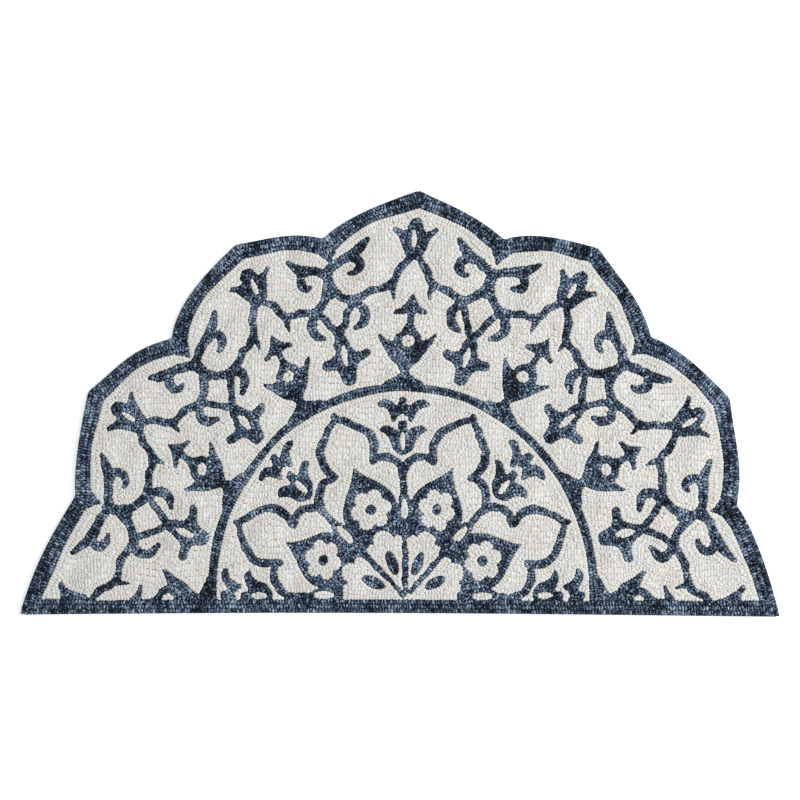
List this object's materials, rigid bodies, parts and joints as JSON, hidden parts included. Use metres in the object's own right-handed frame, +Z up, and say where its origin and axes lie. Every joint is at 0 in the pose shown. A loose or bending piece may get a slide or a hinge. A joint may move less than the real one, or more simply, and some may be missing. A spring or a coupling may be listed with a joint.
{
  "type": "hooked rug",
  "caption": "Half-round hooked loop-pile rug with a scalloped, pointed edge, a navy border and a navy arabesque on an ivory ground.",
  "frame": {"origin": "middle of the underside's bounding rectangle, on the floor", "axes": "+X along the straight edge, +Y from the straight edge towards the scalloped edge, +Z up out of the pile"},
  "size_m": [1.219, 0.6848, 0.01],
  "materials": {
    "rug_wool": "hooked wool loop pile, matt, indigo heather on ivory heather"
  },
  "bodies": {
    "root": {"rug": "rug_wool"}
  },
  "joints": []
}
